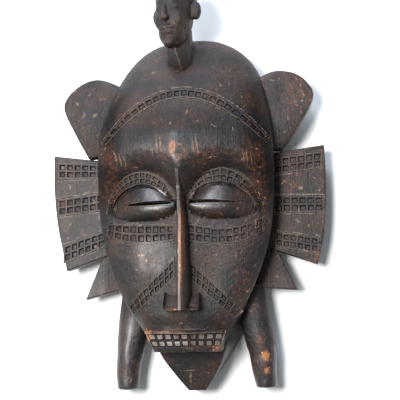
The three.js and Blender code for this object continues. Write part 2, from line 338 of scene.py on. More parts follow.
def boolean(piece, other, operation):
    """Joins other to piece or cuts it away, for good."""
    modifier = piece.modifiers.new(operation, "BOOLEAN")
    modifier.object = other
    modifier.operation = operation
    modifier.solver = "MANIFOLD"
    bpy.ops.object.select_all(action="DESELECT")
    bpy.context.view_layer.objects.active = piece
    bpy.ops.object.modifier_apply(modifier=modifier.name)
    bpy.data.objects.remove(other)


def joined(pieces):
    """One object out of pieces that don't touch."""
    bpy.ops.object.select_all(action="DESELECT")
    for piece in pieces:
        piece.select_set(True)
    bpy.context.view_layer.objects.active = pieces[0]
    bpy.ops.object.join()
    return pieces[0]


# Ornament bands, chiselled flush with the face inside a narrow groove. Each is a grid of cells. In
# a cell a cut runs round a small pad, and thin ridges are left between the cells. Places across a
# cell are counted in cells.
GROOVE = 0.7
BAND_RAISED = 0.5
CELL_DEPTH = 1.5
CELL_UNEVENNESS = 0.7
LINES_PER_CELL = 7
CUT_WALL = 0.1
WIDE_BORDER = 0.5
BORDER_EDGE = 0.15
PLAIN_ENDS = (0.14, 0.14)
TRENCH_DEPTH = CELL_DEPTH + 0.4
TRENCH_TOP = 12


def cell_lines(count, ridge, pad, borders):
    """Places of the grid lines across a row of cells, and what each line runs along."""
    cut = ridge / 2 + CUT_WALL
    lines = [(0, "ridge")]
    if borders[0] > WIDE_BORDER:
        lines += [(BORDER_EDGE, "ridge"), (borders[0] - BORDER_EDGE, "ridge")]
    for cell in range(count):
        start = borders[0] + cell
        lines += [(start, "ridge"), (start + ridge / 2, "ridge"), (start + cut, "cut"),
                  (start + pad[0], "pad"), (start + pad[1], "pad"), (start + 1 - cut, "cut"),
                  (start + 1 - ridge / 2, "ridge")]
    length = borders[0] + count + borders[1]
    lines += [(borders[0] + count, "ridge"), (length, "ridge")]
    return [place / length for place, _ in lines], [kind for _, kind in lines]


def band(rails, rows, cells, ground, raised=BAND_RAISED, depth=CELL_DEPTH, sunk=8, ridge=0.2,
         pad=(0.35, 0.78), pad_depth=0.5, borders=PLAIN_ENDS, sheltered=0.7):
    """Rows of cells between two rails. pad is where a pad starts and ends, pad_depth its share of
    the depth of the cut, and sheltered how well the pads are kept from wear."""
    u_lines, u_kinds = cell_lines(rows, ridge, (1 - pad[1], 1 - pad[0]), borders)
    v_lines, v_kinds = cell_lines(cells, ridge, pad, PLAIN_ENDS)

    def top(x, y, i, j):
        kinds = {u_kinds[i], v_kinds[j]}
        share = 0 if "ridge" in kinds else 1 if "cut" in kinds else pad_depth
        cell = Vector((i // LINES_PER_CELL, j // LINES_PER_CELL, x / 40))
        own = 1 + CELL_UNEVENNESS * noise.noise(cell * 2.3)
        return ground(x, y) + raised - depth * share * own

    def shelter(i, j):
        return sheltered if u_kinds[i] == v_kinds[j] == "pad" else 0

    def wandering(rail):
        def wander(v):
            place = rail(v)
            return place + Vector((uneven(*place, 0.5, 6, 3), uneven(*place, 0.5, 6, 7)))
        return wander

    return slab("band", [wandering(rail) for rail in rails], u_lines, v_lines, top,
                lambda x, y: ground(x, y) - sunk, shelter=shelter)


def trench(rails, ground):
    """The bed that a band and its groove lie in."""
    def widened(side):
        def rail(v):
            start, end = rails[0](v), rails[1](v)
            out = (end - start).normalized() * GROOVE * side
            return (end if side > 0 else start) + out
        return rail

    over = GROOVE / (rails[0](1) - rails[0](0)).length
    lines = [-over, *even(30)[1:-1], 1 + over]
    return slab("trench", (widened(-1), widened(1)), even(3), lines,
                lambda x, y, i, j: ground(x, y) + TRENCH_TOP,
                lambda x, y: ground(x, y) - TRENCH_DEPTH)


DIADEM_PEAK = (1, 95.3)
DIADEM_BEND = 0.0079
DIADEM_WIDTH = 9
DIADEM_TAPER = 0.45


def diadem_rail(inset):
    """A parabola over the forehead, or a line inset under it. The band narrows to its ends."""
    def rail(v):
        x = mix(-74, 76, v) - DIADEM_PEAK[0]
        slope = -2 * DIADEM_BEND * x
        length = math.hypot(1, slope)
        y = DIADEM_PEAK[1] - DIADEM_BEND * x ** 2
        down = inset * (1 - DIADEM_TAPER * abs(2 * v - 1) ** 3)
        return Vector((x + DIADEM_PEAK[0] + down * slope / length, y - down / length))
    return rail


FACE_BANDS = [
    # The diadem.
    ((diadem_rail(DIADEM_WIDTH), diadem_rail(0)), 1, 22),
    # Brow arcs.
    ((curve((-64.5, -10.5), (-61.5, -1.5), (-55.5, 6), (-46.5, 10.8), (-36.5, 12.7), (-25, 10),
            (-14.5, 2.4)),
      curve((-69.9, -12.5), (-66.5, 0), (-60, 12.5), (-49, 21.8), (-36.1, 24.2), (-21.5, 18.6),
            (-12.5, 6.5))), 2, 14),
    ((curve((7.5, 4), (20, 11.2), (33, 12.7), (43, 10.8), (53.5, 4.5), (60.5, -3.2), (64.8, -12.5)),
      curve((6.5, 7), (17, 19.6), (33.2, 25), (47, 21.2), (60.9, 8.9), (66.1, -1.8), (69, -12.3))),
     2, 12),
    # Bands under the eyes.
    ((curve((-70.4, -29.7), (-58, -35.9), (-44, -38.7), (-31, -39.5), (-19.5, -38.7), (-8, -37)),
      curve((-68, -20.1), (-56, -21), (-44, -21.7), (-31, -22.5), (-19.5, -23), (-8, -23.6))),
     2, 9),
    ((curve((4, -38.6), (17, -40.2), (30, -41), (43, -40.4), (56, -37.3), (69, -31.1)),
      curve((4, -22.6), (17, -25.3), (30, -27.5), (43, -26.6), (56, -24), (69.4, -17.5))), 2, 10),
    # Slanting bands from the nose to the jaw.
    ((straight((-47.5, -102), (-8, -69)), straight((-52, -93.5), (-8, -52))), 2, 9),
    ((straight((5, -70.5), (42.5, -105.5)), straight((5, -55), (49, -98.5))), 2, 8),
]
for rails, rows, cells in FACE_BANDS:
    boolean(mask, trench(rails, blank_face), "DIFFERENCE")
face_bands = joined([band(rails, rows, cells, blank_face) for rails, rows, cells in FACE_BANDS])
boolean(mask, face_bands, "UNION")


# The chin, a blunt wedge set back under the mouth. Its top is arched, and its sides draw in
# under it at the tip.
CHIN_Z = 33.5
CHIN_Y = -147
CHIN_SLOPE = 0.33
CHIN_ARCH = 0.004


def chin_top(x, y, i, j):
    return CHIN_Z + CHIN_SLOPE * (y - CHIN_Y) - CHIN_ARCH * x * x + uneven(x, y, 0.4, 9)


def chin_splay(x, y):
    return 0.33 * (y + 150) if x > 0 else 0.14 * (y + 165)


chin = slab("chin", (curve((-2.5, -167), (-13.8, -153), (-26.5, -134), (-36, -106)),
                     curve((12.5, -167), (22.5, -152.5), (30.5, -133), (37, -106))),
            edged(24), edged(40), chin_top, zero, splay=chin_splay, soft=1.2, levels=5)
boolean(mask, chin, "UNION")


# A long thin nose. Its ridge rises steadily from the forehead to the tip, and two flared wings
# share its straight lower edge.
NOSE_TIP_Y = -97.6
NOSE_ROOT_Y = 32
RIDGE_Y = 8
RIDGE_Z = 75
RIDGE_TIP_Z = 90
ROOT_Z = 82
RIDGE_HALF = 1.4
RIDGE_LOW_X = -0.2
RIDGE_HIGH_X = -2.2
RIDGE_ROUND = 0.05
LEFT_FLANK = 4
RIGHT_FLANK = 3.3
NOSTRIL_Z = 79.5
NOSTRIL_LENGTH = 15
NOSTRIL_FALL = 13
NOSTRIL_SCOOP = 7
NOSTRIL_COLUMNS = 16
NOSE_FOOT_Z = 40
NOSTRIL_FOOT_Z = 50


def nose_top(x, y, i, j):
    """A narrow rounded ridge on sloping flanks. It drifts to the viewer's right on its way down."""
    if y < RIDGE_Y:
        crest = mix(RIDGE_Z, RIDGE_TIP_Z, (RIDGE_Y - y) / (RIDGE_Y - NOSE_TIP_Y))
    else:
        crest = mix(RIDGE_Z, ROOT_Z, (y - RIDGE_Y) / (NOSE_ROOT_Y - RIDGE_Y))
    aside = x - mix(RIDGE_LOW_X, RIDGE_HIGH_X, smooth(-35, 25, y))
    flank = RIGHT_FLANK if aside > 0 else LEFT_FLANK
    drop = RIDGE_ROUND * aside ** 2 + flank * max(abs(aside) - RIDGE_HALF, 0) ** 1.1
    return max(crest - drop, blank_face(x, y) - 5) + uneven(x, y, 0.3, 7, 2)


def nostril_top(x, y, i, j):
    """The wings are scooped out inside a thin rim."""
    back = (y - NOSE_TIP_Y) / NOSTRIL_LENGTH
    round_scoop = math.sin(math.pi * i / NOSTRIL_COLUMNS) ** 0.5
    scoop = NOSTRIL_SCOOP * round_scoop * smooth(0.03, 0.25, back)
    return NOSTRIL_Z - NOSTRIL_FALL * back ** 1.5 - scoop


nose = slab("nose", (curve((-8.5, NOSE_TIP_Y), (-8.8, -60), (-8.3, -18), (-5.5, 8),
                           (-3, NOSE_ROOT_Y)),
                     curve((8, NOSE_TIP_Y), (8.5, -60), (8, -18), (4.5, 8), (0, NOSE_ROOT_Y))),
            even(34), edged(80), nose_top, lambda x, y: NOSE_FOOT_Z, soft=0.6)
left_nostril = slab("nostril", (straight((-16, NOSE_TIP_Y), (-16.4, NOSE_TIP_Y + 16)),
                                straight((-4, NOSE_TIP_Y), (-4, NOSE_TIP_Y + 16))),
                    edged(NOSTRIL_COLUMNS), edged(24), nostril_top,
                    lambda x, y: NOSTRIL_FOOT_Z, soft=1)
right_nostril = slab("nostril", (straight((2, NOSE_TIP_Y), (2, NOSE_TIP_Y + 16)),
                                 straight((12.6, NOSE_TIP_Y), (13.4, NOSE_TIP_Y + 15))),
                     edged(NOSTRIL_COLUMNS), edged(24), nostril_top,
                     lambda x, y: NOSTRIL_FOOT_Z, soft=1)
for piece in (left_nostril, right_nostril, nose):
    boolean(mask, piece, "UNION")


# The mouth, a bulging plate that stands forward of the lips. Its two rows of teeth are little
# cushions between cuts, under a plain rounded bar.
MOUTH_Z = 62.5
MOUTH_MIDDLE_Y = -126
MOUTH_ARCH = 0.006
MOUTH_BULGE = 0.038
LIP_RAISED = 1.8
LIP_DEPTH = 14


def mouth_ground(x, y):
    return MOUTH_Z - MOUTH_ARCH * x * x - MOUTH_BULGE * (y - MOUTH_MIDDLE_Y) ** 2 + 0.6


def lip_top(x, y, i, j):
    return mouth_ground(x, y) + LIP_RAISED + uneven(x, y, 0.5, 5)


mouth = band((straight((-27.2, -132.5), (30, -132.3)), straight((-36.9, -114), (34.3, -114.5))),
             2, 9, mouth_ground, raised=0.2, depth=1.5, sunk=17, ridge=0.02, pad=(0.2, 0.82),
             pad_depth=0, borders=(0.75, 0.4), sheltered=0.2)
boolean(mask, mouth, "UNION")
lip = slab("lip", (straight((-36.3, -117), (32, -117.6)), straight((-37.6, -113.4), (33, -114.2))),
           edged(8), edged(60), lip_top, lambda x, y: MOUTH_Z - LIP_DEPTH, soft=1.5)
boolean(mask, lip, "UNION")


# Fan-shaped ears, wings and small points, thin flanges of the same block, set back beside the
# face. Their backs are flat and stand clear of the rim.
FLANGE = 9
EAR_RIM_Z = 31
LEFT_EAR_Z = 40
LEFT_EAR_HOLLOW = 1
RIGHT_EAR_Z = 36
WING_Z = 25
WING_RAISED = 1
WING_SWEEP = 0.05
WING_BAND_X = 77
POINT_Z = 23


def ear_top(from_head, x, y, head_z, hollow=0):
    """An ear stands higher beside the head than at its rim, and may be a little hollow between."""
    sag = hollow * math.sin(math.pi * from_head)
    return mix(head_z, EAR_RIM_Z, from_head) - sag + uneven(x, y, 0.7, 13, 5)


def left_ear_top(x, y, i, j):
    return ear_top(1 - ear_columns[i], x, y, LEFT_EAR_Z, LEFT_EAR_HOLLOW)


def right_ear_top(x, y, i, j):
    return ear_top(ear_columns[i], x, y, RIGHT_EAR_Z)


ear_columns = edged(26)
left_ear = slab("left_ear", (curve((-91, 43), (-103, 65), (-114.5, 91), (-108.5, 105.5),
                                   (-97.5, 114), (-86, 117.6), (-74.5, 116), (-62, 110)),
                             straight((-76, 45), (-58, 104))),
                ear_columns, edged(50), left_ear_top, lambda x, y: EAR_RIM_Z - FLANGE,
                soft=1.2, levels=3)
right_ear = slab("right_ear", (straight((76.5, 45), (60.5, 107)),
                               curve((85.5, 44), (100.5, 63), (115.4, 91), (111, 104), (102, 112.5),
                                     (90, 116.4), (77.5, 115.8), (61, 107.5))),
                 ear_columns, edged(50), right_ear_top, lambda x, y: EAR_RIM_Z - FLANGE,
                 soft=1.2, levels=3)


def wing_ground(x, y):
    """The right wing is swept back a little towards its rim, and the left one forward."""
    sweep = math.copysign(WING_SWEEP, x) * (abs(x) - WING_BAND_X)
    return WING_Z + WING_RAISED - sweep + uneven(x, y, 0.7, 12, 9)


def plate(name, left, right, z):
    def top(x, y, i, j):
        return wing_ground(x, y) + z - WING_Z

    return slab(name, (left, right), edged(24), edged(50), top, lambda x, y: z - FLANGE,
                soft=1.2, levels=3)


left_wing = plate("left_wing", curve((-113, -59), (-121.1, -19.4), (-124.5, 14), (-124.7, 47.7)),
                  straight((-71, -45), (-74, 40.5)), WING_Z)
right_wing = plate("right_wing", straight((70, -43), (74, 41.5)),
                   curve((114.1, -58.8), (121.4, -27.5), (124.1, 14), (123.5, 48.2)), WING_Z)
left_point = plate("left_point", straight((-96.1, -85.6), (-79.5, -46)),
                   straight((-60, -76), (-70, -44)), POINT_Z)
right_point = plate("right_point", straight((58, -77.5), (70, -44)),
                    straight((95.8, -81.1), (79, -45)), POINT_Z)


# Three bands on each wing. A row gives a band's lower and upper edge beside the face, the x of its
# outer end, and its lower and upper edge there.
WING_BANDS = [
    (25.6, 38, -121.5, 25.6, 41.3),
    (-4.5, 12, -121.5, -8.7, 7.1),
    (-37.5, -23, -116, -52, -35.8),
    (22.3, 37.7, 121.5, 27.5, 42),
    (-12.4, 3.5, 121.5, -12.5, 1.8),
    (-41.7, -28.7, 116, -49.7, -34.9),
]
for wing, side in ((left_wing, -1), (right_wing, 1)):
    bands = []
    for low, high, end_x, end_low, end_high in WING_BANDS:
        if end_x * side < 0:
            continue
        start_x = side * WING_BAND_X
        lower = sorted([(start_x, low), (end_x, end_low)])
        upper = sorted([(start_x, high), (end_x, end_high)])
        rails = (straight(*lower), straight(*upper))
        boolean(wing, trench(rails, wing_ground), "DIFFERENCE")
        bands.append(band(rails, 2, 6, wing_ground, raised=0.1, sunk=3))
    boolean(wing, joined(bands), "UNION")
for piece in (left_ear, right_ear, left_wing, right_wing, left_point, right_point):
    boolean(mask, piece, "UNION")


# Two legs, round bars left standing below the cheeks. They bow outwards and taper to a blunt
# end.
LEG_Z = 20
LEG_HALF_DEPTH = 11.5
LEG_THICK = 15
LEG_RINGS = 40
LEG_END_ROUND = 1.2


def leg(path, end):
    """A round along the path, from its lower end up. end is its half width there."""
    bpy.ops.mesh.primitive_cylinder_add(vertices=48, radius=1, depth=1)
    piece = bpy.context.object
    cut = bmesh.new()
    cut.from_mesh(piece.data)
    uprights = [e for e in cut.edges if abs(e.verts[0].co.z - e.verts[1].co.z) > 0.5]
    bmesh.ops.subdivide_edges(cut, edges=uprights, cuts=LEG_RINGS)
    cut.to_mesh(piece.data)
    cut.free()
    centre = curve(*path)
    for vertex in piece.data.vertices:
        across_leg, out, along = vertex.co
        v = along + 0.5
        middle = centre(v)
        half = mix(end, LEG_THICK, v ** 0.8) - LEG_END_ROUND * smooth(0.02, 0, v)
        z = LEG_Z + min(half, LEG_HALF_DEPTH) * out
        x = middle.x + half * across_leg
        rough_x = x + uneven(z, middle.y, 0.6, 9)
        rough_z = z + uneven(x, middle.y, 0.6, 9)
        vertex.co = to_frame(rough_x, middle.y, rough_z)
    bpy.ops.object.mode_set(mode="EDIT")
    bpy.ops.mesh.select_all(action="SELECT")
    bpy.ops.mesh.normals_make_consistent(inside=False)
    bpy.ops.object.mode_set(mode="OBJECT")
    return piece


left_leg = leg([(-58.5, -166), (-57, -140), (-54, -120), (-48, -80)], 9.3)
right_leg = leg([(65.5, -165.5), (64, -146), (60, -120), (51, -76)], 8.6)
boolean(mask, left_leg, "UNION")
boolean(mask, right_leg, "UNION")


# The hollow for the wearer's face, inside the flat rim, and the two slits that the wearer looks
# through. The wood over the hollow is at its thinnest WALL thick.
RIM = 10
WALL = 9
WALL_REACH = 6
BELOW_RIM_Z = -5
SLIT_TOP_Z = 90
SLIT_FOOT_Z = 20


def inside(x, y):
    return mix(shield(x, y) - LID_SET, dome(x, y), forehead_share(x, y)) - WALL


def hollow_top(x, y, i, j):
    return min(inside(x - WALL_REACH, y), inside(x, y), inside(x + WALL_REACH, y))


def slit(lower, upper):
    """A cutter that goes right through the wood."""
    return slab("slit", (curve(*lower), curve(*upper)), even(1), even(12),
                lambda x, y, i, j: SLIT_TOP_Z, lambda x, y: SLIT_FOOT_Z)


hollow = slab("hollow", (head_rail(-1, RIM), head_rail(1, RIM)), even(50), even(90), hollow_top,
              lambda x, y: BELOW_RIM_Z)
left_slit = slit([(-49, -5.6), (-34, -6.6), (-9.5, -6)], [(-49, -4.6), (-34, -3), (-9.5, -3)])
right_slit = slit([(6, -6.1), (28, -5.8), (50, -6.1)], [(6, -2.8), (28, -3.2), (50, -5.5)])
for cutter in (hollow, left_slit, right_slit):
    boolean(mask, cutter, "DIFFERENCE")


# The small head on the crown, turned a little to the viewer's left, on a neck with a sharp front.
# A row gives the middle and the half sizes of a ball, and the balls are smoothed into one form.
SMALL_HEAD = Matrix.Translation((-3.5, 164, 65)) @ Matrix.Rotation(math.radians(-20), 4, "Y")
SMALL_BALLS = [
    # Skull, jaw, hair and cheeks.
    ((0, 2, 0), (16.5, 32, 19)), ((0, 16, -3), (18.5, 20, 21)), ((0, -18, 5), (12, 15, 13)),
    ((-8, -8, 10), (6, 9, 6)), ((8, -8, 10), (6, 9, 6)),
    # Brow, nose, nostrils, lips and chin.
    ((0, 7, 15), (11, 3, 4)), ((0, -4, 18.5), (2.6, 9, 3.4)), ((0, -9, 20), (4.6, 2.6, 3)),
    ((0, -17, 16.5), (7.5, 1.9, 3)), ((0, -21, 16), (6.5, 2.1, 3)), ((0, -29, 12), (5, 4, 4)),
    # Closed eyes.
    ((-7, 1, 14.5), (4.2, 2.6, 3)), ((7, 1, 14.5), (4.2, 2.6, 3)),
    # Ears.
    ((-19, 1, -4), (5, 8.5, 5)), ((19, 1, -4), (5, 8.5, 5)),
]
balls = []
for centre, radii in SMALL_BALLS:
    bpy.ops.mesh.primitive_uv_sphere_add(segments=32, ring_count=20, radius=1)
    ball = bpy.context.object
    shape = SMALL_HEAD @ Matrix.Translation(centre) @ Matrix.Diagonal((*radii, 1))
    for vertex in ball.data.vertices:
        vertex.co = to_frame(*(shape @ vertex.co))
    balls.append(ball)
small_head = balls[0]
for ball in balls[1:]:
    boolean(small_head, ball, "UNION")
remesh = small_head.modifiers.new("remesh", "REMESH")
remesh.mode = "VOXEL"
remesh.voxel_size = 0.9 * MM
soften = small_head.modifiers.new("soften", "SMOOTH")
soften.iterations = 4
soften.factor = 0.5
bpy.context.view_layer.objects.active = small_head
for modifier in ("remesh", "soften"):
    bpy.ops.object.modifier_apply(modifier=modifier)


NECK_FOOT_Y = 112
NECK_FOOT_Z = 61
NECK_RISE = 12
NECK_SLOPE = 1.15
NECK_LEAN = 0.28
NECK_BASE_Z = 38


def neck_top(x, y, i, j):
    """A sharp front that rises out of the crown and leans to the viewer's left."""
    front = NECK_FOOT_Z + NECK_RISE * (1 - math.exp((NECK_FOOT_Y - y) / 8))
    return front - NECK_SLOPE * math.hypot(x - 2 + NECK_LEAN * (y - 113), 0.5)


neck = slab("neck", (straight((-11.5, NECK_FOOT_Y), (-11, 156)),
                     straight((10, NECK_FOOT_Y), (8, 156))),
            even(16), even(26), neck_top, lambda x, y: NECK_BASE_Z, levels=2)
boolean(mask, neck, "UNION")
boolean(mask, small_head, "UNION")


# Marks: short strokes cut into the brow in groups and into the chin, and the scratches of use. A
# row gives the x of a stroke in the brow and the y of its ends. Scratches lie only where the wood
# is fairly level, and keep clear of each other.
SCRATCHES = 90
SCRATCH_SPACING = 9
SCRATCH_STEEPEST = 0.35
SCRATCH_LOWEST_Z = 12
BROW_STROKES = [
    (-58, 39, 31), (-54, 38, 29), (-50, 37, 29), (-20, 54, 37), (-16.5, 52, 40), (-24, 44, 34),
    (11, 53, 38), (14.5, 52, 36), (53, 40, 29), (56.5, 38, 26), (60, 36, 27),
]
CHIN_STROKES = [((-8.5, -149.5), (7.5, -148.3)), ((0, -151), (-0.8, -163))]


def surface(x, y):
    hit, place, _, _ = mask.ray_cast(to_frame(x, y, 200), (0, 0, -1))
    return (place / MM - FRAME_SHIFT).z if hit else None


def stroke(start, end, width=0.8, depth=0.6):
    """A cutter for a stroke that is widest in the middle."""
    start, end = Vector(start), Vector(end)
    aside = (end - start).normalized().orthogonal() * width / 2

    def rail(side):
        return lambda v: start.lerp(end, v) + side * aside * (0.1 + math.sin(math.pi * v))

    return slab("stroke", (rail(-1), rail(1)), even(1), even(5),
                lambda x, y, i, j: surface(x, y) + 3, lambda x, y: surface(x, y) - depth)


chance = random.Random(4)
strokes = [stroke((x, top), (x + 1.2, low), 0.9, 0.7) for x, top, low in BROW_STROKES]
strokes += [stroke(start, end) for start, end in CHIN_STROKES]
taken = []
while len(taken) < SCRATCHES:
    x, y = chance.uniform(-118, 118), chance.uniform(-160, 140)
    turn, length = chance.uniform(0, math.pi), chance.uniform(1.5, 5)
    half = Vector((math.cos(turn), math.sin(turn))) * length / 2
    ends = [Vector((x, y)) - half, Vector((x, y)) + half]
    heights = [surface(*(ends[0].lerp(ends[1], v))) for v in (-0.3, 0.25, 0.5, 0.75, 1.3)]
    if None in heights or min(heights) < SCRATCH_LOWEST_Z:
        continue
    if max(heights) - min(heights) > SCRATCH_STEEPEST * length:
        continue
    if all((Vector((x, y)) - other).length > SCRATCH_SPACING for other in taken):
        taken.append(Vector((x, y)))
        strokes.append(stroke(*ends, chance.uniform(0.4, 1.1), 0.5))
scratches = joined(strokes)
bare = scratches.data.attributes.new("bare", "FLOAT", "POINT")
bare.data.foreach_set("value", [1] * len(scratches.data.vertices))
boolean(mask, scratches, "DIFFERENCE")


# Finish. Three things are kept with each point of the surface: how sharply it stands out, because
# the stain wears off the edges first and hollows get painted shade, how much it has been rubbed,
# which also places painted highlights, and how much it is polished.
JAW_HALF_WIDTH = 42
JAW_LOW_Y = -135
JAW_WALL_TOP_Z = 38
RIM_TOP_Z = 8
RUBBED_AND_HIGHLIT = [
    # Middle, half width and half height of a place, and how worn it is. Above 0.9 the wood shows
    # bronze, partly a painted highlight on the keel, the ridge of the nose and the bar over the
    # teeth.
    (8, 36, 54, 9, 0.7),  # brow
    (-46, 36, 30, 14, 0.35),
    # The keel's bright bronze spot is partly a painted highlight.
    (-5, 41, 5, 9, 1.5),  # keel
    # The bronze line along the nose ridge is partly a painted highlight.
    (1, -45, 4, 60, 1.35),  # ridge of the nose
    (-10, -96, 9, 3, 1.1),  # wings of the nose
    (8, -94, 6, 4, 0.9),
    (-63, 24, 12, 30, 0.5),  # temples
    (64, 30, 12, 20, 0.6),
    (-29, -52, 16, 12, 0.6),  # cheeks
    (66, -8, 9, 30, 0.6),
    (50, -75, 14, 18, 0.6),
    (-34, -119, 6, 8, 1.7),  # corners of the mouth
    (27, -129, 8, 5, 1.2),
    # The bright left half of the bar over the teeth is partly a painted highlight.
    (-16, -115.5, 20, 2.5, 1.1),  # bar over the teeth
    (5, -149, 12, 5, 0.5),  # chin
    (-104, 92, 10, 20, 0.4),  # ears
    (100, 96, 18, 20, 0.7),
    (-117, 6, 9, 12, 0.8),  # wings
    (-95, -24, 7, 7, 0.8),
    (92, 13, 12, 8, 0.8),
    (112, -52, 14, 8, 0.9),
    (120, 10, 5, 50, 0.6),
    (62, -124, 6, 10, 0.9),  # right leg
    (66, -138, 5, 6, 1.8),
    (67, -150, 4, 5, 1.4),
]


def rubbed_and_highlit(x, y, z):
    """How worn a point is, and on the keel, the ridge of the nose and the bar over the teeth also
    how strong a painted highlight is there. The steep walls of the jaw, and what lies low near the
    rim, are out of reach."""
    worn = 0
    for middle_x, middle_y, half_x, half_y, how in RUBBED_AND_HIGHLIT:
        away = math.hypot((x - middle_x) / half_x, (y - middle_y) / half_y)
        worn = max(worn, how * (1 - smooth(0.3, 1.3, away)))
    on_jaw = abs(x) < JAW_HALF_WIDTH and y > JAW_LOW_Y
    unreached = JAW_WALL_TOP_Z if on_jaw else RIM_TOP_Z
    return worn * smooth(unreached, unreached + 8, z)


def oval(x, y, middle_x, middle_y, half_x, half_y):
    """1 in the middle of an oval place, 0 outside it."""
    return 1 - smooth(0.5, 1, math.hypot((x - middle_x) / half_x, (y - middle_y) / half_y))


def polish(x, y, z):
    """Handling has polished the keel of the brow, the nose, the inner halves of the lids, the
    mouth, the left leg and the side of the chin most. The temples, the upper forehead and the outer
    ends of the lids are dull, below 0."""
    brow = 0.5 * oval(x, y, -6, 36, 60, 26) * smooth(58, 74, z)
    keel_spot = 0.9 * oval(x, y, -5, 46, 8, 13)
    nose = 0.7 * smooth(68, 74, z) * smooth(14, 6, y)
    legs = (0.9 if x < 0 else 0.05) * smooth(-90, -115, y) * smooth(34, 40, abs(x))
    left_flanges = mix(0.3, 0.1, smooth(-80, -62, y)) * smooth(-74, -82, x) * smooth(70, 50, y)
    ears = 0.15 * smooth(66, 72, abs(x)) * smooth(55, 65, y)
    chin_side = 0.8 * smooth(8, 16, x) * smooth(-122, -134, y) * smooth(31, 28, z)
    mouth_bar = oval(x, y, -12, -117, 44, 11)
    cheek = 0.4 * oval(x, y, -28, -50, 26, 20)
    shine = max(brow, keel_spot, nose, legs, left_flanges, ears, chin_side, mouth_bar, cheek)
    temples = smooth(0.55, 0.85, across(x, y)) * smooth(-25, 10, y) * smooth(42, 50, z)
    temples *= smooth(110, 85, y)
    upper_forehead = 0.4 * oval(x, y, 0, 60, 56, 23)
    shine -= max(temples, upper_forehead) * (1 - shine)
    in_socket = smooth(1, 0.92, socket_reach(x, y, *SOCKET_INNER)) * smooth(-20, -18, y)
    lids = mix(-0.5, 1.2, smooth(46, 26, abs(x))) * smooth(-16, -9, y)
    return mix(shine, lids, in_socket)


def keep_wear_and_painted_light(piece):
    """Edge is 1 on the sharpest ridge, 0 on the flat and -1 in the sharpest hollow. It is lowered
    round the eye sockets and kept up along the jaw. Ridges get pale wear from it and hollows
    painted shade, and the rubbed values also place painted highlights."""
    shell = bmesh.new()
    shell.from_mesh(piece.data)
    shell.normal_update()
    edges, rubs_and_highlights, shines = [], [], []
    sheltered = piece.data.attributes["sheltered"].data
    for vertex in shell.verts:
        angles = [edge.calc_face_angle_signed(0) for edge in vertex.link_edges]
        ridge, valley = max(angles), -min(angles)
        x, y, z = vertex.co / MM - FRAME_SHIFT
        ridge *= 1 - sheltered[vertex.index].value
        ridge *= 0.3 if abs(socket_reach(x, y, *SOCKET_INNER) - 1) < 0.06 else 1
        jaw = 0.6 * smooth(0.97, 1, across(x, y)) * smooth(-20, -50, y) * smooth(42, 45, z)
        sharp = (ridge if ridge > valley else -valley) / (math.pi / 2)
        edges.append(max(sharp, jaw if y > MOUTH_END_Y else 0))
        rubs_and_highlights.append(rubbed_and_highlit(x, y, z))
        shines.append(polish(x, y, z))
    shell.free()
    for name, values in (("edge", edges), ("rubbed_and_highlit", rubs_and_highlights), ("polish", shines)):
        piece.data.attributes.new(name, "FLOAT", "POINT").data.foreach_set("value", values)


bpy.ops.object.select_all(action="DESELECT")
mask.select_set(True)
bpy.context.view_layer.objects.active = mask
keep_wear_and_painted_light(mask)
bpy.ops.object.shade_smooth_by_angle(angle=math.radians(35))


def linear(hex_colour):
    """A colour written as the eye sees it, as the shader wants it."""
    parts = [int(hex_colour[i:i + 2], 16) / 255 for i in (1, 3, 5)]
    return [c / 12.92 if c <= 0.04045 else ((c + 0.055) / 1.055) ** 2.4 for c in parts] + [1]


def add(tree, kind, settings=None, **inputs):
    """Adds a node. An input is a value, or a socket to link from. It goes by its name, or by i and
    its number."""
    node = tree.nodes.new(kind)
    for key, value in (settings or {}).items():
        setattr(node, key, value)
    for key, value in inputs.items():
        name = int(key[1:]) if key[1:].isdigit() else key.replace("_", " ")
        socket = node.inputs[name]
        if isinstance(value, bpy.types.NodeSocket):
            tree.links.new(value, socket)
        else:
            socket.default_value = value
    return node


# Sizes of the patterns in the wood. Its pores are too fine to show, so the grain is drawn coarser.
GRAIN_WIDTH = 1.25
GRAIN_LENGTH = 15.6
SPECKLE_SIZE = 1.111
FLECK_SIZE = 3.03
MOTTLE_SIZE = 4.17
PATCH_SIZE = 29.4
GRAIN_DEPTH = 0.7
MOTTLE_DEPTH = 1.5


